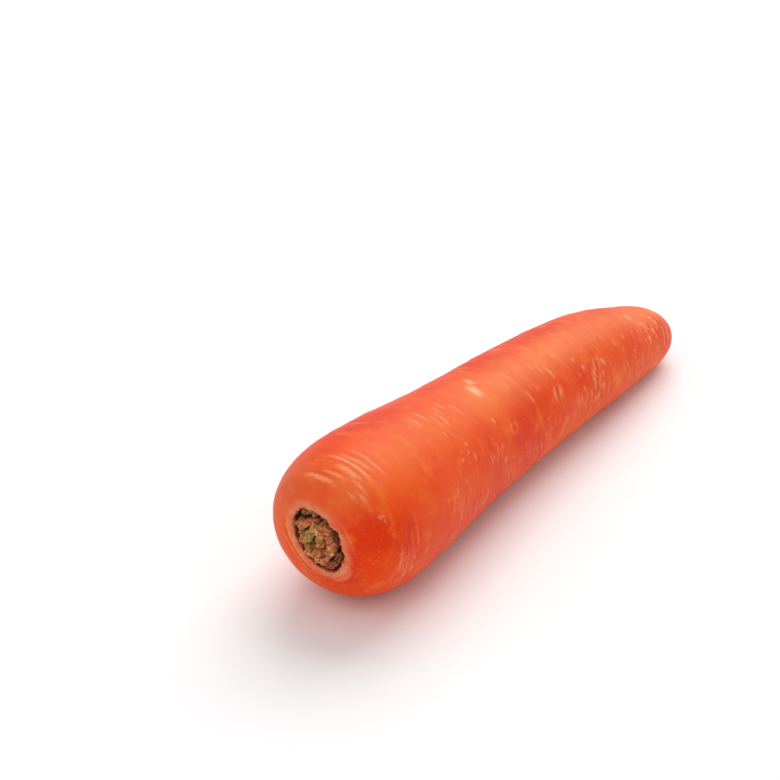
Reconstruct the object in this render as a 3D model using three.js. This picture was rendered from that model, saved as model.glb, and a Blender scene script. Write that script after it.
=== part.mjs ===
// A carrot as sold: one stout tapering root lying on its side, its leaves snapped off short.
// Millimetres, +Z up. The root runs along X with its crown at -X and its tip at +X. It rests
// on the plane Z = 0, and the origin is the middle of the underside of the whole carrot's box.

import * as THREE from 'three';

// ---- Root: overall size ----
const rootLength = 180;

// Diameters of the root at evenly spaced stations from the crown to the tip. The first and
// the last are what the flanks run to before the ends are rounded off.
const crownDiameter = 48.4;
const shoulderDiameter = 43;
const upperBodyDiameter = 37;
const lowerBodyDiameter = 33.4;
const tailDiameter = 28.3;
const tipDiameter = 16;

// ---- Root: rounded ends ----
// Each end is a superellipse: how far along the root its rounding reaches, and how square it is.
const shoulderReach = 50;
const shoulderSquareness = 3.75;
const tipReach = 12.7;
const tipSquareness = 2.15;

// ---- Root: how it lies ----
const sidewaysBow = 4.3; // the middle of the root stands this far to +Y of its two ends
const crownLift = 3; // the middle of the crown lies this far above the root's own axis
const restingFlat = 0.27; // how much of the underside is pressed flat where it rests

// ---- Crown pit and the dry leaf-stalk stubs in it ----
const pitDiameter = 15.6;
const pitOvalness = 1.15; // its long axis is this many diameters, its short axis one over that
const pitLean = 40; // degrees that the upper end of its long axis leans towards +Y
const pitDrop = 1.1; // its middle lies this far below the middle of the crown
const pitDepth = 3.4;
const rimWidth = 0.6; // plain crown kept round the pit's edge before the next ring
const stubCount = 12;
const stubThickness = 0.95;
const stubSpan = 70; // degrees of the ring that one crescent-shaped stub covers
const stubSpiral = 137.5; // degrees from one stub to the next, the golden angle of leaves
const outerStubRecess = 0.6; // the oldest stub ends this far inside the pit's edge
const innerStubProud = 0.8; // the youngest stands this far proud of it
const stubUnevenness = 0.35;
const heartDiameter = 2;
const heartProud = 0.6;
const seatGap = 0.3; // clearance between each stub and what is next to it

// ---- Fineness of the faceted surfaces ----
const rootSides = 40;
const flankSteps = 44;
const heartSides = 16;
const arcSteps = 5;

const degrees = Math.PI / 180;

// Radius of the root's flank at a station, as a smooth curve through the stated diameters.
const flankDiameters = [
  crownDiameter, shoulderDiameter, upperBodyDiameter,
  lowerBodyDiameter, tailDiameter, tipDiameter,
];
const flankStations = flankDiameters.map((diameter, i) => rootLength * i / (flankDiameters.length - 1));
const flankCurve = new THREE.CubicInterpolant(flankStations, flankDiameters, 1, new Float64Array(1));

function flankRadius(station) {
  return flankCurve.evaluate(station)[0] / 2;
}

// Share of the full radius left at a distance in from a rounded end.
function endRounding(distance, reach, squareness) {
  const inset = Math.max(1 - distance / reach, 0);
  return (1 - inset ** squareness) ** (1 / squareness);
}

function rootRadius(station) {
  const shoulder = endRounding(station, shoulderReach, shoulderSquareness);
  const tip = endRounding(rootLength - station, tipReach, tipSquareness);
  return flankRadius(station) * shoulder * tip;
}

// Where the middle of a ring of the root lies, seen along the root. The root lies flat along
// its whole underside, bows sideways, and its rounded crown is tilted a little upwards.
function ringCentre(station, radius) {
  const flank = flankRadius(station);
  const fullness = station < shoulderReach ? Math.min(radius / flank, 1) : 1;
  return {
    y: sidewaysBow * Math.sin(Math.PI * station / rootLength),
    z: flank + crownLift * (1 - fullness ** 2) - restingFlat,
  };
}

// Station at which the rounded crown has a given radius: endRounding solved for distance.
function crownStation(radius) {
  const fullness = radius / flankRadius(0);
  const inset = (1 - fullness ** shoulderSquareness) ** (1 / shoulderSquareness);
  return shoulderReach * (1 - inset);
}

// The pit goes straight in from its edge, so its wall and floor share the middle of that edge.
const pitRadius = pitDiameter / 2;
const rimStation = crownStation(pitRadius);
const crownMiddle = ringCentre(rimStation, pitRadius);
const pitMiddle = { y: crownMiddle.y, z: crownMiddle.z - pitDrop };

// Draws the round pit, and all that stands in it, out into a leaning oval.
const pitOval = new THREE.Matrix4()
  .makeRotationX(-pitLean * degrees)
  .multiply(new THREE.Matrix4().makeScale(1, 1 / pitOvalness, pitOvalness))
  .multiply(new THREE.Matrix4().makeRotationX(pitLean * degrees));

// The root's rings, from the middle of the pit's floor, over the rim and along the flank to
// the tip. They stand closer together towards both ends.
function rootRings() {
  const rings = [
    { radius: 0, station: pitDepth, centre: pitMiddle, oval: true },
    { radius: pitRadius, station: pitDepth, centre: pitMiddle, oval: true },
    { radius: pitRadius, station: rimStation, centre: pitMiddle, oval: true },
  ];
  const flankStart = crownStation(pitRadius * pitOvalness + pitDrop + rimWidth);
  for (let ring = 1; ring < flankSteps; ring += 1) {
    const station = rootLength * (1 - Math.cos(Math.PI * ring / flankSteps)) / 2;
    if (station > flankStart) {
      const radius = rootRadius(station);
      rings.push({ radius, station, centre: ringCentre(station, radius) });
    }
  }
  rings.push({ radius: 0, station: rootLength, centre: ringCentre(rootLength, 0) });
  return rings;
}

// The outline is turned about its axis and laid along X. Then each ring is moved to its own
// centre, the pit's rings as ovals, and pressed flat where it would pass below the resting plane.
function makeRoot() {
  const rings = rootRings();
  const outline = rings.map(({ radius, station }) => new THREE.Vector2(radius, station));
  const geometry = new THREE.LatheGeometry(outline, rootSides);
  geometry.rotateZ(-Math.PI / 2);
  geometry.rotateX(Math.PI / 2);
  const corners = geometry.attributes.position;
  const corner = new THREE.Vector3();
  for (let i = 0; i < corners.count; i += 1) {
    const { centre, oval } = rings[i % rings.length];
    corner.fromBufferAttribute(corners, i);
    if (oval) {
      corner.applyMatrix4(pitOval);
    }
    corners.setY(i, corner.y + centre.y);
    corners.setZ(i, Math.max(corner.z + centre.z, 0));
  }
  geometry.computeVertexNormals();
  const skin = new THREE.MeshStandardMaterial({ color: 0xe4552a, roughness: 0.42, metalness: 0 });
  const root = new THREE.Mesh(geometry, skin);
  root.name = 'carrot_root';
  return root;
}

// A crescent seen from the front of the crown: two arcs about the crown's middle.
function stubSection(middleRadius) {
  const halfSpan = stubSpan * degrees / 2;
  const section = new THREE.Shape();
  section.absarc(0, 0, middleRadius + stubThickness / 2, -halfSpan, halfSpan, false);
  section.absarc(0, 0, middleRadius - stubThickness / 2, halfSpan, -halfSpan, true);
  section.closePath();
  return section;
}

const stubColours = [0xa9805a, 0x8a5a3c, 0xb98f63, 0x7c4a30];

// From the seats of the stubs up to the pit's edge.
const edgeHeight = pitDepth - seatGap - rimStation;

// One dry leaf-stalk stub. The oldest stands outermost and shortest; each younger one stands
// further round and further in.
function makeStub(index) {
  const outermost = pitRadius - seatGap - stubThickness / 2;
  const innermost = heartDiameter / 2 + seatGap + stubThickness / 2;
  const youth = index / (stubCount - 1);
  const middleRadius = THREE.MathUtils.lerp(outermost, innermost, youth);
  const proud = THREE.MathUtils.lerp(-outerStubRecess, innerStubProud, youth);
  const height = edgeHeight + proud + stubUnevenness * Math.sin(5 * index);
  const geometry = new THREE.ExtrudeGeometry(stubSection(middleRadius), {
    depth: height,
    bevelEnabled: false,
    curveSegments: arcSteps,
  });
  geometry.rotateY(-Math.PI / 2);
  geometry.rotateX(index * stubSpiral * degrees);
  geometry.applyMatrix4(pitOval);
  const colour = stubColours[index % stubColours.length];
  const dryStalk = new THREE.MeshStandardMaterial({ color: colour, roughness: 0.9, metalness: 0 });
  const stub = new THREE.Mesh(geometry, dryStalk);
  stub.name = `leaf_stalk_stub_${String(index + 1).padStart(2, '0')}`;
  return stub;
}

// The youngest stalks at the very middle, still folded into one small round-topped bud.
function makeHeartBud() {
  const budRadius = heartDiameter / 2;
  const budHeight = edgeHeight + heartProud;
  const outline = [new THREE.Vector2(0, 0), new THREE.Vector2(budRadius, 0)];
  for (let step = 0; step < arcSteps; step += 1) {
    const turn = Math.PI / 2 * step / arcSteps;
    const height = budHeight - budRadius * (1 - Math.sin(turn));
    outline.push(new THREE.Vector2(budRadius * Math.cos(turn), height));
  }
  outline.push(new THREE.Vector2(0, budHeight));
  const geometry = new THREE.LatheGeometry(outline, heartSides);
  geometry.rotateZ(Math.PI / 2);
  geometry.applyMatrix4(pitOval);
  const greenishStalk = new THREE.MeshStandardMaterial({ color: 0x8f8a45, roughness: 0.85, metalness: 0 });
  const bud = new THREE.Mesh(geometry, greenishStalk);
  bud.name = 'heart_bud';
  return bud;
}

// The stubs and the bud stand on the pit's floor, round the middle of the crown.
function makeCrownTuft() {
  const tuft = new THREE.Group();
  for (let index = 0; index < stubCount; index += 1) {
    tuft.add(makeStub(index));
  }
  tuft.add(makeHeartBud());
  tuft.position.set(pitDepth - seatGap, pitMiddle.y, pitMiddle.z);
  return tuft;
}

const carrot = new THREE.Group();
carrot.add(makeRoot());
carrot.add(makeCrownTuft());

// The origin goes to the middle of the underside of the whole carrot's box.
const box = new THREE.Box3().setFromObject(carrot, true);
const boxMiddle = box.getCenter(new THREE.Vector3());
carrot.position.set(-boxMiddle.x, -boxMiddle.y, -box.min.z);

export default carrot;
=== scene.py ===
# %% [markdown]
# # A carrot, lying on its side
#
# A carrot is a root that grew in soil: stout at the shoulder, blunt at the tip, with a waxy
# orange skin that is crossed by pale bark streaks and by the scars of the hair roots. The
# leaves were snapped off, so a pit of dry leaf-stalk stubs is left at the crown. We first
# load the frame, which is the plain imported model. It says how big everything is and where
# it lies, so every piece made below takes its place from it.

# %% Load the frame
import math
import random

import bpy
import numpy as np
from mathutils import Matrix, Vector


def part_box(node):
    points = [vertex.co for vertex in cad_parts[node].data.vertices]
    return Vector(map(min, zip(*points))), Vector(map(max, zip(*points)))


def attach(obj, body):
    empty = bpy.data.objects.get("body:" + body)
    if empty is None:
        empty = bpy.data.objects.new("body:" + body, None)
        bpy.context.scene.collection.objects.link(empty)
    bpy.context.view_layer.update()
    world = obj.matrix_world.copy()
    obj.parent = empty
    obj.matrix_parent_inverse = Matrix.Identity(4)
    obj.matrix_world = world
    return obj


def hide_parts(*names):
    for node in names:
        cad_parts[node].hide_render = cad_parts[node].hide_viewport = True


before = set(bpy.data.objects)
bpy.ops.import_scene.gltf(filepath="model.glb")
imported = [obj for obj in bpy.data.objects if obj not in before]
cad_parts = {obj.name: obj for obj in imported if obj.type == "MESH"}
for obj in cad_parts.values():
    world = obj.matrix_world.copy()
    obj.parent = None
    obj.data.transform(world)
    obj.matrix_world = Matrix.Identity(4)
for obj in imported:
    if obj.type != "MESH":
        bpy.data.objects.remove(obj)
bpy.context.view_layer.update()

mm = 0.001
dice = random.Random(7)

# %% [markdown]
# ## Measuring the root
#
# The frame's root is a stack of rings, each in a plane across the X axis. Reading each ring's
# middle and radius back from its corners gives us the carrot's true shape, and a smooth curve
# through those numbers lets us ask for it at any station along the root.

# %% Rings of the frame's root
def ring_at(corners, station):
    return corners[abs(corners[:, 0] - station) < 2e-6]


def ring_rows(corners):
    """Station, middle y, middle z and radius of every ring, from the crown to the tip."""
    rows = []
    for station in np.unique(corners[:, 0].round(6)):
        ring = ring_at(corners, station)
        radius = np.ptp(ring[:, 1]) / 2
        middle_y = (ring[:, 1].max() + ring[:, 1].min()) / 2
        rows.append((station, middle_y, ring[:, 2].max() - radius, radius))
    return np.array(rows)


root_corners = np.array([v.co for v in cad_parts["carrot_root"].data.vertices])
rows = ring_rows(root_corners)
crown_x = rows[0, 0]
tip_x = rows[-1, 0]

# %% The oval pit in the crown
pit_edge = ring_at(root_corners, crown_x)
pit_edge = np.unique(pit_edge.round(7), axis=0)
pit_middle = Vector((pit_edge.max(axis=0) + pit_edge.min(axis=0)) / 2)
shares, axes = np.linalg.eigh(np.cov((pit_edge - pit_edge.mean(axis=0))[:, 1:].T, bias=True))
pit_half_width, pit_half_length = np.sqrt(2 * shares)
long_y, long_z = axes[:, 1] * math.copysign(1, axes[1, 1])
pit_lean = math.atan2(long_y, long_z)
pit_radius = math.sqrt(pit_half_width * pit_half_length)
pit_floor_x = next(row[0] for row in rows[1:] if abs(row[3] - rows[0, 3]) < 1e-6)
pit_depth = pit_floor_x - crown_x
print(f"pit {2 * pit_half_length / mm:.1f} by {2 * pit_half_width / mm:.1f} mm, "
      f"{pit_depth / mm:.2f} mm deep, its long axis {math.degrees(pit_lean):.0f} degrees off upright")


def round_again(points):
    """Points about the pit's middle, squeezed back from the oval into a round pit."""
    y, z = points[:, 1] - pit_middle.y, points[:, 2] - pit_middle.z
    along = (y * math.sin(pit_lean) + z * math.cos(pit_lean)) * pit_radius / pit_half_length
    across = (y * math.cos(pit_lean) - z * math.sin(pit_lean)) * pit_radius / pit_half_width
    return (across * math.cos(pit_lean) + along * math.sin(pit_lean),
            along * math.cos(pit_lean) - across * math.sin(pit_lean))


rim_room = 4 * mm  # rings closer to the pit than this belong to its rim
flank_rows = rows[rows[:, 3] > pit_half_length + rim_room]
flank_rows = np.vstack([flank_rows, rows[rows[:, 0] > flank_rows[-1, 0]]])
crown_middle = Vector((crown_x, flank_rows[0, 1], flank_rows[0, 2]))
print(len(flank_rows), "rings on the frame's flank")


# %% A smooth curve through the rings
def along_root(station):
    """Middle y, middle z and radius of the flank at a station, or at an array of them."""
    stations = flank_rows[:, 0]
    i = np.clip(np.searchsorted(stations, station) - 1, 0, len(stations) - 2)
    width = stations[i + 1] - stations[i]
    t = np.clip((station - stations[i]) / width, 0, 1)
    answer = []
    for values in flank_rows[:, 1:].T:
        slopes = np.gradient(values, stations)
        start = (1 + 2 * t) * (1 - t) ** 2 * values[i] + t * (1 - t) ** 2 * width * slopes[i]
        end = t * t * (3 - 2 * t) * values[i + 1] + t * t * (t - 1) * width * slopes[i + 1]
        answer.append(start + end)
    return answer


# %% [markdown]
# ## Camera, floor and light
#
# A long lens from three quarters of a metre away keeps the carrot's true proportions. Over a
# pale floor, two big soft lamps and a bright sky wrap their light round the root and leave only
# a soft shadow.

# %% Camera
aim = Vector((22.8 * mm, 52.9 * mm, 0))
camera_distance = 764 * mm
camera_azimuth = math.radians(-55.6)
camera_height_angle = math.radians(29.33)
towards_camera = Vector((
    math.sin(camera_azimuth) * math.cos(camera_height_angle),
    -math.cos(camera_azimuth) * math.cos(camera_height_angle),
    math.sin(camera_height_angle),
))
camera_data = bpy.data.cameras.new("camera")
camera_data.lens = 116.9
camera_data.sensor_width = 36
camera = bpy.data.objects.new("camera", camera_data)
camera.location = aim + towards_camera * camera_distance
camera.rotation_euler = (-towards_camera).to_track_quat("-Z", "Y").to_euler()
bpy.context.scene.collection.objects.link(camera)
bpy.context.scene.camera = camera
bpy.context.scene.view_settings.view_transform = "Standard"
print("camera at", [round(c, 3) for c in camera.location])


# %% Lamps and surroundings
def soft_lamp(name, place, width, watts):
    """A square white lamp that faces the middle of the carrot."""
    data = bpy.data.lights.new(name, "AREA")
    data.shape = "SQUARE"
    data.size = width
    data.energy = watts
    lamp = bpy.data.objects.new(name, data)
    lamp.location = place
    lamp.rotation_euler = Vector(place).to_track_quat("Z", "Y").to_euler()
    bpy.context.scene.collection.objects.link(lamp)


soft_lamp("key_lamp", (1.35, 0.35, 1.75), 2.0, 36)
soft_lamp("fill_lamp", (-1.6, -0.3, 1.6), 1.6, 9)
sky = bpy.data.worlds.new("studio")
sky.use_nodes = True
sky.node_tree.nodes["Background"].inputs["Color"].default_value = (1, 1, 1, 1)
sky.node_tree.nodes["Background"].inputs["Strength"].default_value = 0.58
bpy.context.scene.world = sky
print("lamps:", [lamp.name for lamp in bpy.data.lights])

# %% [markdown]
# ## Working by hand, from code
#
# The modelling tools act on whatever is selected, as they do under a mouse. So each step first
# clears the selection, and then picks the piece, or the points of it, that it will change.


# %% Small helpers for picking and shaping
def only(piece):
    """Selects this piece alone and makes it the one that the tools work on."""
    bpy.ops.object.select_all(action="DESELECT")
    piece.select_set(True)
    bpy.context.view_layer.objects.active = piece


def done():
    bpy.ops.object.mode_set(mode="OBJECT")


def apply_modifier(piece, kind, **settings):
    """Adds a modifier, sets it up and makes its result the mesh."""
    modifier = piece.modifiers.new(kind.lower(), kind)
    for name, value in settings.items():
        setattr(modifier, name, value)
    only(piece)
    bpy.ops.object.modifier_apply(modifier=modifier.name)


def refine(piece, levels):
    apply_modifier(piece, "SUBSURF", levels=levels, render_levels=levels)


def cloud(name, size, depth=2):
    """A lumpy noise for the Displace modifier, with lumps of about the given size."""
    texture = bpy.data.textures.new(name, "CLOUDS")
    texture.noise_scale = size
    texture.noise_depth = depth
    return texture


def weigh(piece, name, weights):
    """Stores one weight for each vertex, for a modifier to read."""
    group = piece.vertex_groups.new(name=name)
    for index in np.nonzero(weights > 0.004)[0]:
        group.add([int(index)], float(weights[index]), "REPLACE")


def places(piece):
    """All vertices of a piece as rows of x, y, z."""
    flat = np.zeros(len(piece.data.vertices) * 3)
    piece.data.vertices.foreach_get("co", flat)
    return flat.reshape(-1, 3)


# %% [markdown]
# ## The floor
#
# One large pale slab, far bigger than the carrot.

# %% Floor
floor_width = 8
floor_thickness = 0.03
bpy.ops.object.select_all(action="DESELECT")
bpy.ops.mesh.primitive_plane_add(size=floor_width, location=(0, 0, 0))
floor = bpy.context.object
floor.name = "floor"
bpy.ops.object.mode_set(mode="EDIT")
bpy.ops.mesh.select_all(action="SELECT")
bpy.ops.mesh.extrude_region_move(TRANSFORM_OT_translate={"value": (0, 0, -floor_thickness)})
bpy.ops.mesh.select_all(action="SELECT")
bpy.ops.mesh.normals_make_consistent(inside=False)
bpy.ops.object.mode_set(mode="OBJECT")
print("floor:", [round(side, 2) for side in floor.dimensions], "m")

# %% [markdown]
# ## The root
#
# We model it the way it would be drawn up from one face: a disc on the pit's floor is extruded
# out to the pit's edge, over a low lip, round the shoulder and down the flank to the tip. After
# each extrusion the new ring is scaled about its own middle. That keeps one clean loop of
# edges for each station, which subdivision then rounds off. A cubic subdivision pulls a ring
# of straight sides inwards a little, so the rings are made larger by just that share.

# %% Stations of the rings
root_sides = 22
body_step = 3.3 * mm
rounding_shrink = (4 + 2 * math.cos(2 * math.pi / root_sides)) / 6
shoulder_end = crown_x + 11 * mm  # up to here the frame's own, closer rings are kept
tail_start = tip_x - 14 * mm  # and from here on again
least_step = 0.8 * mm

stations = [x for x in flank_rows[:, 0] if x < shoulder_end]
steps = round((tail_start - stations[-1]) / body_step)
stations += list(np.linspace(stations[-1], tail_start, steps + 1)[1:])
stations += [x for x in flank_rows[:-1, 0] if x > tail_start + least_step]

oval = math.sqrt(pit_half_length / pit_half_width)
pit_rings = [  # millimetres out from the pit's edge, in from the crown's face, share of the oval
    (-3.2, pit_depth / mm, 1),
    (-0.8, pit_depth / mm, 1),
    (-0.3, 0.8 * pit_depth / mm, 1),
    (-0.15, 0.4 * pit_depth / mm, 1),
    (0.1, 0.15, 1),
    (0.6, -0.05, 1),
    (1.3, 0.02, 1),
    (2.1, 0.3, 0.9),
    (3.3, 0.5, 0.6),
]
print(len(stations), "rings on the flank,", len(pit_rings), "rings round the pit")


# %% Extrude the root ring by ring
def squash(centre, width, length):
    """Scales the selection along the two axes of the pit's oval."""
    bpy.ops.transform.rotate(value=-pit_lean, orient_axis="X", center_override=centre)
    bpy.ops.transform.resize(value=(1, width, length), center_override=centre)
    bpy.ops.transform.rotate(value=pit_lean, orient_axis="X", center_override=centre)


def next_ring(last, centre, radius, ovalness=1.0):
    """Extrudes the selected face to a new ring and returns the new ring's numbers."""
    last_centre, last_radius, last_ovalness = last
    bpy.ops.mesh.extrude_region_move(TRANSFORM_OT_translate={"value": centre - last_centre})
    share = radius / last_radius
    change = ovalness / last_ovalness
    squash(centre, share / change, share * change)
    return centre, radius, ovalness


disc_radius = 1.5 * mm
floor_centre = pit_middle + Vector((pit_depth, 0, 0))
bpy.ops.object.select_all(action="DESELECT")
bpy.ops.mesh.primitive_circle_add(
    vertices=root_sides, radius=disc_radius, fill_type="NGON",
    location=floor_centre, rotation=(0, math.pi / 2, 0),
)
root = bpy.context.object
root.name = "carrot_root_skin"
bpy.ops.object.transform_apply(location=True, rotation=True, scale=True)
bpy.ops.object.mode_set(mode="EDIT")
bpy.ops.mesh.select_all(action="SELECT")
ring = (floor_centre, disc_radius, 1.0)
for outwards, inwards, share in pit_rings:
    centre = crown_middle.lerp(pit_middle, share)
    centre.x = crown_x + inwards * mm
    ring = next_ring(ring, centre, (pit_radius + outwards * mm) / rounding_shrink, oval ** share)
for station in stations:
    y, z, radius = along_root(station)
    ring = next_ring(ring, Vector((station, y, z)), radius / rounding_shrink)
bpy.ops.mesh.select_all(action="SELECT")
bpy.ops.mesh.normals_make_consistent(inside=False)
done()
refine(root, 3)
print("root:", len(root.data.polygons), "faces")


# %% [markdown]
# ## Where is each point of the skin?
#
# A mark on the skin is easiest to place the way a grower would: so far along the root from
# the crown, and so far round it from the top. From here on each vertex knows both.

# %% Station, turn and girth of every vertex
def skin_map(piece):
    """Millimetres from the crown, degrees round from the top, and radius in millimetres."""
    points = places(piece)
    y, z, radius = along_root(np.clip(points[:, 0], flank_rows[0, 0], tip_x))
    turn = np.degrees(np.arctan2(-(points[:, 1] - y), points[:, 2] - z))
    return (points[:, 0] - crown_x) / mm, turn, np.maximum(radius / mm, 2)


station_mm, turn_deg, girth_mm = skin_map(root)
girth_order = np.argsort(station_mm)


def across_from(turn):
    """Distance round the skin from a given turn, in millimetres."""
    return np.radians((turn_deg - turn + 180) % 360 - 180) * girth_mm


def stroke(start, end, width):
    """A soft line from one place to another: 1 along its middle, fading to 0 around it."""
    (from_station, from_turn), (to_station, to_turn) = start, end
    middle_turn = (from_turn + to_turn) / 2
    girth = np.interp((from_station + to_station) / 2, station_mm[girth_order], girth_mm[girth_order])
    half = math.radians(to_turn - from_turn) * girth / 2
    run = across_from(middle_turn)
    rise = station_mm - (from_station + to_station) / 2
    length = math.hypot(half, (to_station - from_station) / 2)
    forward = (run * half + rise * (to_station - from_station) / 2) / length
    aside = (rise * half - run * (to_station - from_station) / 2) / length
    aside = aside - 0.07 * np.sin(forward * 1.1 + from_station) - 0.05 * np.sin(forward * 3.7 + from_turn)
    return np.exp(-(aside / width) ** 2) * np.clip(1 - (forward / length) ** 2, 0, 1)


def spot(station, turn, size):
    distance = np.hypot(station_mm - station, across_from(turn))
    return np.exp(-(distance / size) ** 2)


def hoop(station, turn, radius, width):
    """A small soft ring, such as a pore leaves."""
    distance = np.hypot(station_mm - station, across_from(turn))
    return np.exp(-((distance - radius) / width) ** 2)


# %% [markdown]
# ## Bark streaks, root scars and specks
#
# Streaks are thin corky lines that cross the root, mostly in small ladders. The hair roots
# leave their scars in four rows down the root: a short slit with pale lips. Specks are the
# small pale breathing pores. We add them up in four layers: what stands proud, what is sunk,
# what is pale and what is dark. The first two shape the mesh, the last two feed the colour.
# Where the groups on the near side sit was worked out beforehand, outside this script.

# %% Layers of marks
raised = np.zeros(len(station_mm))
sunk = np.zeros(len(station_mm))
pale = np.zeros(len(station_mm))
# The dark layer is painted shade: it darkens the creases, slits and dents in the colour.
dark = np.zeros(len(station_mm))


def add_mark(proud=None, low=None, light=None, deep=None):
    """Adds one mark to the layers, keeping the stronger of old and new at each point."""
    for layer, mark in ((raised, proud), (sunk, low), (pale, light), (dark, deep)):
        if mark is not None:
            np.maximum(layer, mark, out=layer)


def bark(start, end, strength=1.0, width=0.5):
    """One corky streak, with the fine crease that runs along its lower side, darkened with painted shade.
    """
    line = stroke(start, end, width) * strength
    below = 1.9 * width
    crease = stroke((start[0] + below, start[1]), (end[0] + below, end[1]), 0.8 * width) * strength
    add_mark(proud=0.5 * line, light=line, low=0.45 * crease, deep=0.35 * crease)


streak_girth = 19  # radius in mm that turns a streak's length into degrees
speck_girth = 18  # the same for how far specks scatter


def ladder(station, turn, count, spacing, length, strength=1.0, width=0.4, lean=0.0):
    """A group of short bark streaks, each one lean degrees further round than the last."""
    for step in range(count):
        place = station + (step - (count - 1) / 2) * spacing + dice.uniform(-0.25, 0.25) * spacing
        swing = turn + lean * (step - (count - 1) / 2) + dice.uniform(-8, 8)
        half = math.degrees(length * dice.uniform(0.3, 0.6) / streak_girth)
        tilt = dice.uniform(-0.5, 0.5)
        bark((place - tilt, swing - half), (place + tilt, swing + half),
             strength * dice.uniform(0.5, 1.0), width * dice.uniform(0.75, 1.25))


def root_scar(start, end, strength=1.0, width=0.5):
    """The slit that a hair root leaves: two pale lips round a sunk line, darkened with painted shade."""
    slit = stroke(start, end, width) * strength
    add_mark(low=slit, deep=slit)
    for side, share in ((-1, 1.0), (1, 0.75)):
        shift = side * 2.0 * width
        lip = stroke((start[0] + shift, start[1]), (end[0] + shift, end[1]), 1.1 * width)
        add_mark(proud=0.8 * share * strength * lip, light=share * strength * lip)


def dot(station, turn, size=0.7, strength=1.0):
    """A pale raised pore with a dent below it, darkened with painted shade."""
    add_mark(proud=0.9 * strength * spot(station, turn, size), light=strength * spot(station, turn, size))
    pit = spot(station + 1.4 * size, turn + 2, 0.8 * size) * strength
    add_mark(low=0.6 * pit, deep=0.5 * pit)


def specks(station, turn, count, spread, strength=1.0, size=0.45):
    """A few pores, close together."""
    for _ in range(count):
        swing = turn + math.degrees(dice.gauss(0, spread) / speck_girth)
        dot(station + dice.gauss(0, spread), swing, size * dice.uniform(0.7, 1.3), strength)


# %% Marks on the side that is seen first
ladder(station=9.5, turn=10, count=6, spacing=2.2, length=13, strength=1.15, width=0.55, lean=4)
ladder(station=5, turn=32, count=3, spacing=1.4, length=7, strength=0.8)
ladder(station=50, turn=15, count=7, spacing=2.8, length=6, strength=0.9, width=0.5)
ladder(station=75, turn=4, count=2, spacing=2.0, length=5, strength=0.9, width=0.5)
ladder(station=95, turn=46, count=2, spacing=12, length=5, strength=0.8, width=0.45)
ladder(station=139, turn=80, count=1, spacing=1, length=6, strength=1.0, width=0.5)
for station, turn, half, strength in [
    (123, 57, 9, 0.65), (121, 73, 9, 0.65), (100, 60, 8, 0.75), (167, 69, 19, 1.0),
]:
    root_scar((station + 1, turn - half), (station - 1, turn + half), strength, 0.6)
specks(station=6, turn=57, count=3, spread=1.4, strength=1.0, size=0.5)
specks(station=48, turn=49, count=6, spread=2.6, strength=0.9, size=0.5)
specks(station=68, turn=50, count=3, spread=5.0, strength=0.9, size=0.6)
specks(station=124, turn=62, count=9, spread=3.2, strength=0.9, size=0.7)
specks(station=161, turn=40, count=8, spread=4.5, strength=0.9, size=1.0)
for marks in [  # station, turn, count, spacing, length, strength
    (61, 76, 6, 1.5, 4, 0.6), (83, 16, 5, 1.8, 6, 0.4), (100, 24, 4, 2.0, 6, 0.4),
    (13, 92, 4, 2.0, 9, 0.55), (11, 108, 5, 1.6, 6, 0.5), (42, 92, 5, 1.6, 7, 0.5),
    (52, 104, 5, 1.7, 7, 0.5), (84, 98, 5, 1.6, 7, 0.5), (112, 88, 4, 1.7, 6, 0.5),
    (118, 10, 4, 2.2, 6, 0.35), (147, 84, 4, 1.5, 5, 0.6),
]:
    ladder(*marks)
for station, turn, radius in [(75, 62, 1.5), (70, 100, 1.3)]:
    unevenness = 0.6 + 0.4 * np.sin(station_mm * 2.3 + turn_deg / 4)
    ring_share = 0.45 * hoop(station, turn, radius, 0.45) * unevenness
    add_mark(proud=ring_share, light=ring_share)
    add_mark(low=0.6 * spot(station, turn, 0.8), deep=0.4 * spot(station, turn, 0.7))
for marks in [  # station, turn, count, spread, strength
    (112, 70, 8, 5.0, 0.7), (90, 90, 8, 6.0, 0.6), (150, 70, 9, 5.0, 0.7),
    (11, 112, 8, 3.0, 0.7), (30, 60, 4, 6.0, 0.4), (163, 40, 8, 4.0, 0.8),
]:
    specks(*marks)
scuff_station, scuff_turn = 72, 15
scuff = np.maximum(
    stroke((scuff_station, scuff_turn - 10), (scuff_station, scuff_turn + 10), 1.3),
    0.8 * stroke((scuff_station + 3, scuff_turn - 18), (scuff_station + 3, scuff_turn - 6), 0.8),
)
print("marks on the near side done")

# %% Marks all round the rest
for row_turn in (147, 237, 327):
    station = 14.0
    while station < 162:
        station += dice.uniform(14, 30)
        turn = row_turn + dice.uniform(-8, 8)
        half = dice.uniform(6, 14)
        root_scar((station, turn - half), (station + dice.uniform(-1, 1), turn + half),
                  dice.uniform(0.5, 1.0))
        specks(station, turn, 3, 1.6, 0.7)
for _ in range(34):
    ladder(dice.uniform(4, 166), dice.uniform(125, 345), dice.randint(2, 6), dice.uniform(1.5, 2.5),
           dice.uniform(5, 10), dice.uniform(0.4, 1.0))
for _ in range(70):
    specks(dice.uniform(5, 172), dice.uniform(0, 360), 2, 3.0, dice.uniform(0.25, 0.6))
print(f"raised {int((raised > 0.2).sum())} vertices, sunk {int((sunk > 0.2).sum())}")

# %% [markdown]
# ## Shaping the skin
#
# Growth leaves a root gently uneven, so two soft noises come first. Then the layers of marks
# push the skin out or in by a few tenths of a millimetre. Last, everything that would dip
# below the surface that the carrot lies on is scaled flat onto it.

# %% How far is each point from the pit's edge?
round_y, round_z = round_again(places(root))
pit_distance = np.hypot(round_y, round_z) / mm - pit_radius / mm
pit_turn = np.degrees(np.arctan2(-round_y, round_z))
on_crown = station_mm < 6

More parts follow.
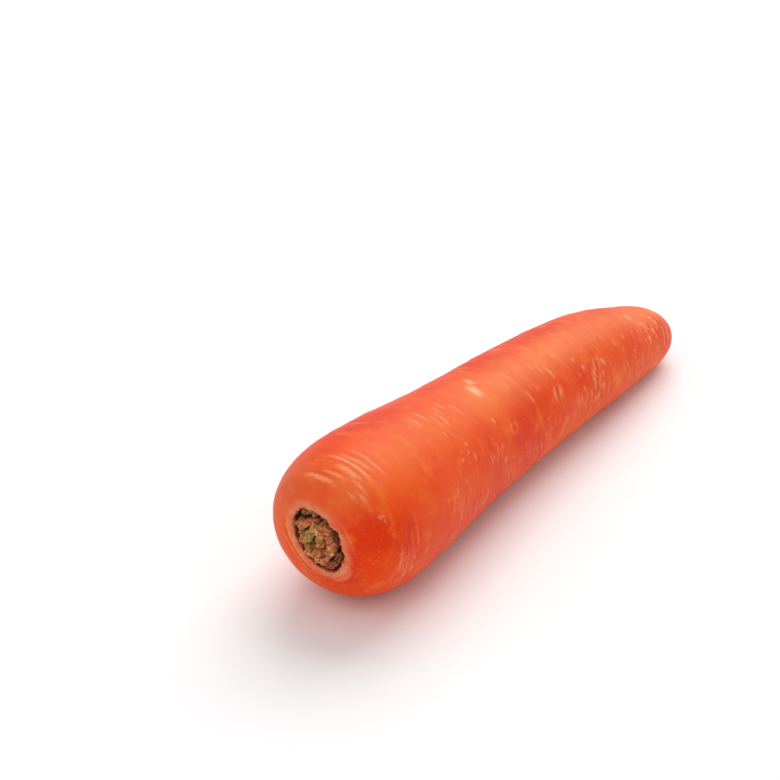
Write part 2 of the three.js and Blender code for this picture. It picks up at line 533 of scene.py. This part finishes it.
# %% Creases that follow the pit's edge
for distance, middle, span, strength in [
    (2.4, -125, 50, 0.8), (4.2, -135, 30, 0.4), (2.6, 140, 30, 0.5), (3.4, 60, 30, 0.25),
]:
    reach = np.clip(1 - (((pit_turn - middle + 180) % 360 - 180) / span) ** 2, 0, 1) * on_crown
    line = np.exp(-((pit_distance - distance) / 0.5) ** 2) * reach * strength
    crease = np.exp(-((pit_distance - distance - 0.9) / 0.45) ** 2) * reach * strength
    add_mark(proud=0.7 * line, light=line, low=crease, deep=0.6 * crease)

# %% The scar where the tap root's thin tail broke off, at the tip
tip_row = flank_rows[-1]
tail_y = (places(root)[:, 1] - tip_row[1]) / mm
tail_z = (places(root)[:, 2] - tip_row[2]) / mm - 0.4
tail_angle = np.arctan2(tail_y, tail_z)
tail_outline = 1 + 0.16 * np.sin(3 * tail_angle + 1) + 0.1 * np.sin(5 * tail_angle)
tail_distance = np.hypot(tail_y, tail_z) * tail_outline
at_tip = station_mm > 170
tail_scar = np.clip(1.3 - tail_distance / 1.1, 0, 1) * at_tip
scar_lip = np.exp(-((tail_distance - 1.6) / 0.5) ** 2) * at_tip
radial_creases = (0.5 + 0.5 * np.sin(9 * tail_angle)) * np.exp(-((tail_distance - 3.0) / 1.6) ** 2) * at_tip
add_mark(proud=0.7 * scar_lip, light=0.35 * scar_lip, deep=0.4 * radial_creases)
add_mark(low=np.maximum(1.0 * np.exp(-(tail_distance / 0.9) ** 2) * at_tip, 0.5 * radial_creases))

# %% The layer of torn skin at the pit's edge
near_edge = np.clip(1.5 - abs(pit_distance) / 1.4, 0, 1) * on_crown

# %% Lumps and marks
calm = np.clip((pit_distance + 1) / 6, 0, 1)
weigh(root, "everywhere", np.where(on_crown, 0.15 + 0.85 * calm, 1))
weigh(root, "raised", raised)
weigh(root, "sunk", sunk)
weigh(root, "pit_edge", near_edge)
for noise, group, strength, mid in [
    (cloud("growth", 24 * mm, 1), "everywhere", 0.55 * mm, 0.5),
    (cloud("dents", 6 * mm, 2), "everywhere", 0.26 * mm, 0.5),
    (cloud("torn_edge", 1.5 * mm, 2), "pit_edge", 1.9 * mm, 0.5),
    (None, "raised", 0.22 * mm, 0.0),
    (None, "sunk", -0.26 * mm, 0.0),
]:
    apply_modifier(root, "DISPLACE", texture=noise, vertex_group=group, strength=strength, mid_level=mid)
root.vertex_groups.clear()

# %% Settle the underside on the surface it lies on
only(root)
below = places(root)[:, 2] < 0
root.data.vertices.foreach_set("select", below)
root.data.edges.foreach_set("select", np.zeros(len(root.data.edges), bool))
root.data.polygons.foreach_set("select", np.zeros(len(root.data.polygons), bool))
bpy.ops.object.mode_set(mode="EDIT")
bpy.ops.transform.resize(value=(1, 1, 0), center_override=(0, 0, 0))
done()
bpy.ops.object.shade_smooth()
print(int(below.sum()), "vertices rest on the surface")


# %% Hand the layers to the finish
def keep_layer(piece, name, values):
    """Stores one number for each vertex under a name that a material can read."""
    layer = piece.data.attributes.new(name, "FLOAT", "POINT")
    layer.data.foreach_set("value", np.asarray(values, np.float32))


in_pit = np.clip(0.8 - pit_distance / 0.5, 0, 1) * on_crown
rim = np.exp(-((pit_distance - 0.9) / 1.2) ** 2) * on_crown
lower_flank = np.exp(-((abs(turn_deg) - 95) / 35) ** 2)
weather = np.clip((station_mm - 60) / 80, 0, 1) * 0.7 + 0.2 + 0.4 * lower_flank
# Painted highlight: a pale band along the top of the root and a patch on the shoulder, where the light
# falls.
top_highlight = np.exp(-((turn_deg - 22) / 26) ** 2) * (0.55 + 0.45 * np.clip((station_mm - 50) / 30, 0, 1))
shoulder_highlight = 0.6 * np.exp(-((station_mm - 4) / 9) ** 2) * np.exp(-((turn_deg + 40) / 60) ** 2)
painted_highlight = np.maximum(top_highlight, shoulder_highlight)
for name, values in [("pale_bark", pale), ("painted_crease_shade", dark), ("pit", in_pit), ("rim", rim),
                     ("scuff", scuff), ("weather", weather), ("painted_highlight", painted_highlight), ("tail_scar", tail_scar)]:
    keep_layer(root, name, values)

# %% [markdown]
# ## Leaf-stalk stubs
#
# Each leaf stalk clasped the crown as a crescent, and when the leaves were torn off, a dry
# stub was left of each. A small plate is swept round the crown in steps, by extruding it and
# turning the new end about the crown's axis. Subdivision rounds it, noise along the stalk
# tears the top, and the tops of the most worn outer stubs are lowered.


# %% Measure a stub in the frame
def stub_numbers(node):
    """Inner and outer radius, middle turn, span, base and top, all in the round pit."""
    corners = np.array([v.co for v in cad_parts[node].data.vertices])
    y, z = round_again(corners)
    radius = np.hypot(y, z)
    middle_turn = math.atan2(-y.mean(), z.mean())
    offset = (np.arctan2(-y, z) - middle_turn + math.pi) % (2 * math.pi) - math.pi
    return {
        "inner": radius.min(), "outer": radius.max(), "turn": middle_turn,
        "span": np.ptp(offset), "base": corners[:, 0].max(), "top": corners[:, 0].min(),
    }


stub_nodes = sorted(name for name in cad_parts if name.startswith("leaf_stalk_stub"))
print(len(stub_nodes), "stubs,", {k: round(float(v), 4) for k, v in stub_numbers(stub_nodes[0]).items()})


# %% Sweep one stub
def turn_about_crown(angle):
    bpy.ops.transform.rotate(value=-angle, orient_axis="X", center_override=pit_middle)


stub_swelling = 1.65  # a dry stub is this much thicker than its plain stand-in


def sweep_stub(node, steps=7):
    """A crescent plate swept round the crown's axis, still plain."""
    size = stub_numbers(node)
    middle_radius = (size["inner"] + size["outer"]) / 2
    thickness = (size["outer"] - size["inner"]) * stub_swelling
    height = size["base"] - size["top"]
    start = pit_middle + Vector(((size["base"] + size["top"]) / 2 - crown_x, 0, middle_radius))
    bpy.ops.object.select_all(action="DESELECT")
    bpy.ops.mesh.primitive_plane_add(size=1, location=start, rotation=(math.pi / 2, 0, 0))
    stub = bpy.context.object
    stub.name = node + "_dry"
    bpy.ops.object.transform_apply(location=True, rotation=True, scale=True)
    bpy.ops.object.mode_set(mode="EDIT")
    bpy.ops.mesh.select_all(action="SELECT")
    bpy.ops.transform.resize(value=(height, 1, thickness), center_override=start)
    bpy.ops.mesh.subdivide(number_cuts=3)
    turn_about_crown(size["turn"] - size["span"] / 2)
    for _ in range(steps):
        bpy.ops.mesh.extrude_region_move(TRANSFORM_OT_translate={"value": (0, 0, 0)})
        turn_about_crown(size["span"] / steps)
    bpy.ops.mesh.select_all(action="SELECT")
    squash(pit_middle, 1 / oval, oval)
    bpy.ops.mesh.normals_make_consistent(inside=False)
    done()
    return stub, size


# %% Tear and roughen the stubs
crumble = cloud("crumble", 0.7 * mm, 3)
tear = cloud("tear", 1.0 * mm, 2)
sag = cloud("sag", 3.0 * mm, 1)


def rotted_away(stub):
    """Where the outer stubs have gone from beside the pit's wall, above all to one side."""
    y, z = round_again(places(stub))
    outwards = np.clip((np.hypot(y, z) - pit_radius) / mm + 2.5, 0, 1)
    turn = np.degrees(np.arctan2(-y, z))
    gone = np.zeros(len(turn))
    for middle, span in [(55, 85), (-50, 16), (-98, 18), (-150, 22)]:
        gone = np.maximum(gone, np.clip(1.3 - abs((turn - middle + 180) % 360 - 180) / span, 0, 1))
    return outwards * gone


deepest_fall = 2.4 * mm
shortest_stump = 0.4 * mm
stubs = []
for node in stub_nodes:
    stub, size = sweep_stub(node)
    refine(stub, 3)
    height = (size["base"] - places(stub)[:, 0]) / (size["base"] - size["top"])
    weigh(stub, "upper", np.clip(height * 1.4 - 0.4, 0, 1))
    weigh(stub, "rotted_away", rotted_away(stub) * np.clip(height, 0, 1))
    fall = min(deepest_fall, size["base"] - size["top"] - shortest_stump)
    for noise, direction, strength, mid in [
        (sag, "X", 1.6 * mm, 0.5), (tear, "X", 2.4 * mm, 0.5), (tear, "Z", 1.2 * mm, 0.5),
        (sag, "Y", 1.2 * mm, 0.5), (None, "Y", 0.6 * mm, 0), (None, "Z", -0.3 * mm, 0),
        (None, "X", -0.6 * mm, 0),
    ]:
        apply_modifier(stub, "DISPLACE", texture=noise, vertex_group="upper", direction=direction,
                       strength=strength, mid_level=mid)
    apply_modifier(stub, "DISPLACE", vertex_group="rotted_away", direction="X",
                   strength=fall, mid_level=0)
    apply_modifier(stub, "DISPLACE", texture=crumble, strength=0.7 * mm, mid_level=0.5)
    stub.vertex_groups.clear()
    only(stub)
    bpy.ops.object.shade_smooth()
    stubs.append(stub)
print("stub faces:", [len(stub.data.polygons) for stub in stubs][:3])

# %% [markdown]
# ## Heart bud
#
# The youngest stalks never opened. They stand in the middle as one folded bud.

# %% Heart bud
bud_low, bud_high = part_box("heart_bud")
bud_middle = (bud_low + bud_high) / 2
bpy.ops.object.select_all(action="DESELECT")
bpy.ops.mesh.primitive_cylinder_add(
    vertices=14, radius=(bud_high.z - bud_low.z) / 2, depth=bud_high.x - bud_low.x,
    location=bud_middle, rotation=(0, math.pi / 2, 0),
)
bud = bpy.context.object
bud.name = "heart_bud_dry"
bpy.ops.object.transform_apply(location=True, rotation=True, scale=True)
bpy.ops.object.mode_set(mode="EDIT")
bpy.ops.mesh.select_all(action="SELECT")
bpy.ops.mesh.subdivide(number_cuts=2)
done()
refine(bud, 2)
apply_modifier(bud, "DISPLACE", texture=crumble, strength=0.7 * mm, mid_level=0.5)
only(bud)
bpy.ops.object.shade_smooth()
print("bud:", len(bud.data.polygons), "faces")

# %% [markdown]
# ## Finishes
#
# A finish is a small net of nodes. Written as sums and products it reads like a recipe, so we
# wrap a socket in a class whose operators add the Math nodes, and let one method add any
# other node.


# %% Sockets that can be added and multiplied
class Wire:
    """A number on its way through a finish."""

    def __init__(self, finish, socket):
        self.finish = finish
        self.socket = socket

    def _math(self, operation, first, second):
        return self.finish.node("ShaderNodeMath", {"operation": operation}, {0: first, 1: second})["Value"]

    def __add__(self, other):
        return self._math("ADD", self, other)

    def __radd__(self, other):
        return self._math("ADD", other, self)

    def __rsub__(self, other):
        return self._math("SUBTRACT", other, self)

    def __mul__(self, other):
        return self._math("MULTIPLY", self, other)

    def __rmul__(self, other):
        return self._math("MULTIPLY", other, self)


class Finish:
    """A material that is built up node by node."""

    def __init__(self, name):
        self.material = bpy.data.materials.new(name)
        self.material.use_nodes = True
        self.tree = self.material.node_tree
        self.tree.nodes.clear()

    def node(self, kind, settings=None, inputs=None):
        """Adds a node: its settings first, then values or wires for its sockets."""
        added = self.tree.nodes.new(kind)
        for name, value in (settings or {}).items():
            setattr(added, name, value)
        open_inputs = [s for s in added.inputs if s.enabled]
        for key, value in (inputs or {}).items():
            if isinstance(key, int):
                socket = open_inputs[key]
            else:
                socket = next(s for s in open_inputs if s.name == key)
            if isinstance(value, Wire):
                self.tree.links.new(value.socket, socket)
            else:
                socket.default_value = value
        return {s.name: Wire(self, s) for s in added.outputs if s.enabled}

    def layer(self, name):
        """A number that the mesh holds for each vertex."""
        return self.node("ShaderNodeAttribute", {"attribute_name": name})["Fac"]

    def here(self, stretch=(1, 1, 1)):
        """The point on the piece, in millimetres, stretched for grain that runs one way."""
        point = self.node("ShaderNodeTexCoord")["Object"]
        scale = tuple(s / mm for s in stretch)
        return self.node("ShaderNodeMapping", None, {"Vector": point, "Scale": scale})["Vector"]

    def noise(self, where, size, detail=2.0, roughness=0.5):
        """Soft noise from about 0 to 1 with patches of the given size in millimetres."""
        inputs = {"Vector": where, "Scale": 1 / size, "Detail": detail, "Roughness": roughness}
        return self.node("ShaderNodeTexNoise", None, inputs)["Fac"]

    def between(self, value, low, high):
        """0 below low, 1 above high, and a smooth step from one to the other."""
        inputs = {"Value": value, "From Min": low, "From Max": high}
        return self.node("ShaderNodeMapRange", {"interpolation_type": "SMOOTHSTEP"}, inputs)["Result"]

    def blend(self, share, under, over):
        """The colour under, covered by the colour over by the given share."""
        inputs = {"Factor": share, "A": under, "B": over}
        return self.node("ShaderNodeMix", {"data_type": "RGBA"}, inputs)["Result"]

    def distance(self, point, place):
        """How far a point is from a fixed place, in metres."""
        inputs = {0: point, 1: place}
        return self.node("ShaderNodeVectorMath", {"operation": "DISTANCE"}, inputs)["Value"]

    def bump(self, height, depth_mm):
        inputs = {"Height": height, "Strength": 1.0, "Distance": depth_mm * mm}
        return self.node("ShaderNodeBump", None, inputs)["Normal"]

    def surface(self, inputs):
        """Ends the net in the one surface shader."""
        shader = self.node("ShaderNodeBsdfPrincipled", None, inputs)["BSDF"]
        self.node("ShaderNodeOutputMaterial", None, {"Surface": shader})


def colour(red, green, blue):
    """A screen colour, 0 to 255, as the light values that shaders use."""
    def light(channel):
        share = channel / 255
        return share / 12.92 if share <= 0.04045 else ((share + 0.055) / 1.055) ** 2.4
    return (light(red), light(green), light(blue), 1)


# %% [markdown]
# ## Skin finish
#
# Carrot skin is a thin waxy layer over moist orange flesh. Light goes in a little way and comes
# out redder, so some of it is scattered under the surface. The colour is uneven: redder and
# yellower clouds, fine grain across the root, pale bark, and creases darkened with painted shade.
# Where the skin has dried, it is paler and less glossy. A pale peach band along the top and on
# the shoulder is a painted highlight.

# %% Skin: clouds and grain of the live skin
skin = Finish("carrot_skin")
plain = skin.here()
ringwise = skin.here((1, 0.12, 0.12))
weather = skin.layer("weather")
clouds = skin.between(skin.noise(plain, 22, 3), 0.35, 0.68)
fine_grain = skin.noise(ringwise, 0.9, 4, 0.6)
wide_grain = skin.noise(ringwise, 3.2, 3, 0.55)
mottle = skin.noise(skin.here((1, 0.6, 0.6)), 3.6, 5, 0.6)

flesh = skin.blend(clouds, colour(230, 56, 2), colour(235, 82, 5))
flesh = skin.blend(skin.between(mottle, 0.52, 0.72) * (0.3 + 0.4 * weather), flesh, colour(246, 126, 34))
flesh = skin.blend(skin.between(0.5 * mottle + 0.5 * clouds, 0.4, 0.2) * 0.4, flesh, colour(214, 44, 2))
flesh = skin.blend(skin.between(fine_grain, 0.5, 0.8) * 0.3, flesh, colour(210, 46, 3))

# %% Skin: painted highlight, stripes and pores
# The painted highlight: a pale peach tint on the top band and the shoulder, broken up by grain.
highlight_share = skin.layer("painted_highlight") * (0.2 + 0.25 * wide_grain + 0.2 * fine_grain)
flesh = skin.blend(highlight_share, flesh, colour(248, 158, 98))
stripes = skin.between(skin.noise(ringwise, 1.5, 4, 0.62), 0.5, 0.68)
stripes = stripes * skin.between(skin.noise(plain, 10, 3), 0.42, 0.6) * weather
flesh = skin.blend(stripes * 0.5, flesh, colour(246, 132, 92))
pores = skin.between(skin.noise(plain, 0.8, 3, 0.6), 0.6, 0.7) * weather
flesh = skin.blend(pores * 0.45, flesh, colour(246, 156, 112))

# %% Skin: bark, creases and the crown
flakes = skin.between(skin.noise(skin.here((1, 0.5, 0.5)), 0.6, 4, 0.65), 0.35, 0.62)
bark_share = skin.layer("pale_bark") * (0.14 + 0.62 * flakes + 0.4 * fine_grain)
flesh = skin.blend(bark_share, flesh, colour(253, 172, 124))
# Painted shade in the creases, slits and dents: the dark layer darkens the colour there.
flesh = skin.blend(skin.layer("painted_crease_shade") * 0.6, flesh, colour(168, 28, 3))
flesh = skin.blend(skin.layer("scuff") * (0.4 + 0.8 * fine_grain), flesh, colour(250, 196, 158))
crown_grain = skin.noise(plain, 0.9, 3)
flesh = skin.blend(skin.layer("tail_scar") * (0.5 + 0.5 * crown_grain), flesh, colour(150, 78, 40))
rim_share = skin.layer("rim") * (0.5 + 0.5 * skin.between(skin.noise(plain, 2.2, 3), 0.35, 0.65))
flesh = skin.blend(rim_share, flesh, colour(226, 142, 102))
# Down in the pit the skin turns dark brown: dry tissue, deepened with painted shade in the recess.
pit_share = skin.layer("pit")
pit_tone = skin.blend(crown_grain, colour(48, 15, 6), colour(118, 58, 30))
flesh = skin.blend(pit_share, flesh, pit_tone)

relief = (0.4 * skin.layer("pale_bark") * flakes + 0.5 * fine_grain + 0.35 * wide_grain
          + 0.35 * pores + 0.4 * stripes + 0.3 * mottle)
gloss = 0.4 + 0.12 * fine_grain + 0.15 * stripes + 0.25 * skin.layer("pit") + 0.15 * skin.layer("rim")
skin.surface({
    "Base Color": flesh,
    "Roughness": gloss,
    "Specular IOR Level": 0.16,
    "Specular Tint": (1.0, 0.75, 0.55, 1.0),
    "Subsurface Weight": 0.2,
    "Subsurface Radius": (1.0, 0.3, 0.1),
    "Subsurface Scale": 2 * mm,
    "Normal": skin.bump(relief, 0.16),
})
root.data.materials.append(skin.material)

# %% [markdown]
# ## Dry stalk finish
#
# The stubs dried out as they stood, so they are matt and fibrous: pale where the top was torn,
# dark brown down in the pit, partly dry tissue and partly painted shade, darker again with
# painted shade next to the pit's wall, and still a little olive towards the middle of the crown.


# %% Dry stalks
def dry_stalk(name, torn, shaded):
    """A fibrous finish: torn and shaded colours mixed in patches, darker with painted shade deep in the
    pit.
    """
    stalk = Finish(name)
    where = stalk.here()
    fibres = stalk.noise(stalk.here((0.3, 1, 1)), 0.3, 3, 0.6)
    crumbs = stalk.noise(where, 0.55, 3, 0.6)
    patches = stalk.noise(where, 1.1, 2, 0.6)
    point = stalk.node("ShaderNodeTexCoord")["Object"]
    x = stalk.node("ShaderNodeSeparateXYZ", None, {"Vector": point})["X"]
    height = stalk.between(x, pit_floor_x - 0.8 * mm, crown_x + 0.2 * mm)
    green_heart = pit_middle + Vector((0, 1.6 * mm, 0.2 * mm))
    from_heart = stalk.distance(point, green_heart)
    green = (1 - stalk.between(from_heart, 1.6 * mm, 5.0 * mm)) * stalk.between(crumbs, 0.38, 0.56)
    tone = stalk.blend(stalk.between(patches, 0.42, 0.6), colour(*torn), colour(*shaded))
    tone = stalk.blend(green * 0.85, tone, colour(172, 150, 62))
    tone = stalk.blend(stalk.between(crumbs, 0.46, 0.38) * 0.8, tone, colour(84, 32, 14))
    # Painted shade: the outer stubs darken in patches next to the pit's wall.
    from_middle = stalk.distance(point, pit_middle)
    outermost = stalk.between(from_middle, 5.2 * mm, 8.0 * mm) * stalk.between(patches, 0.62, 0.4)
    tone = stalk.blend(outermost * 0.7, tone, colour(92, 36, 16))
    # Darker the deeper it goes into the pit: dark dry tissue, deepened with painted shade.
    tone = stalk.blend((1 - height) * 0.85, tone, colour(60, 20, 8))
    stalk.surface({
        "Base Color": tone,
        "Roughness": 0.72 + 0.2 * fibres,
        "Normal": stalk.bump(0.6 * fibres + 0.6 * crumbs, 0.2),
    })
    return stalk.material


tan_stalk = dry_stalk("dry_tan_stalk", (254, 184, 122), (212, 124, 72))
brown_stalk = dry_stalk("dry_brown_stalk", (240, 146, 94), (172, 80, 44))
olive_stalk = dry_stalk("olive_bud", (206, 158, 96), (150, 104, 54))

floor_finish = Finish("paper_floor")
floor_tone = floor_finish.noise(floor_finish.here(), 40, 2)
floor_finish.surface({
    "Base Color": floor_finish.blend(floor_tone, (0.93, 0.93, 0.93, 1), (0.95, 0.95, 0.95, 1)),
    "Roughness": 0.9,
})
floor.data.materials.append(floor_finish.material)
print("finishes:", [material.name for material in bpy.data.materials])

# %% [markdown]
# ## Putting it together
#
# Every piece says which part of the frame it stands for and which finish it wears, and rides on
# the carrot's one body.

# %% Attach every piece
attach(root, "root")
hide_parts("carrot_root")
for index, (node, stub) in enumerate(zip(stub_nodes, stubs)):
    slot = ("dry_tan_stalk", "dry_brown_stalk")[index % 2]
    stub.data.materials.append((tan_stalk, brown_stalk)[index % 2])
    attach(stub, "root")
    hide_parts(node)
bud.data.materials.append(olive_stalk)
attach(bud, "root")
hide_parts("heart_bud")

# %% Update the scene
bpy.context.view_layer.update()
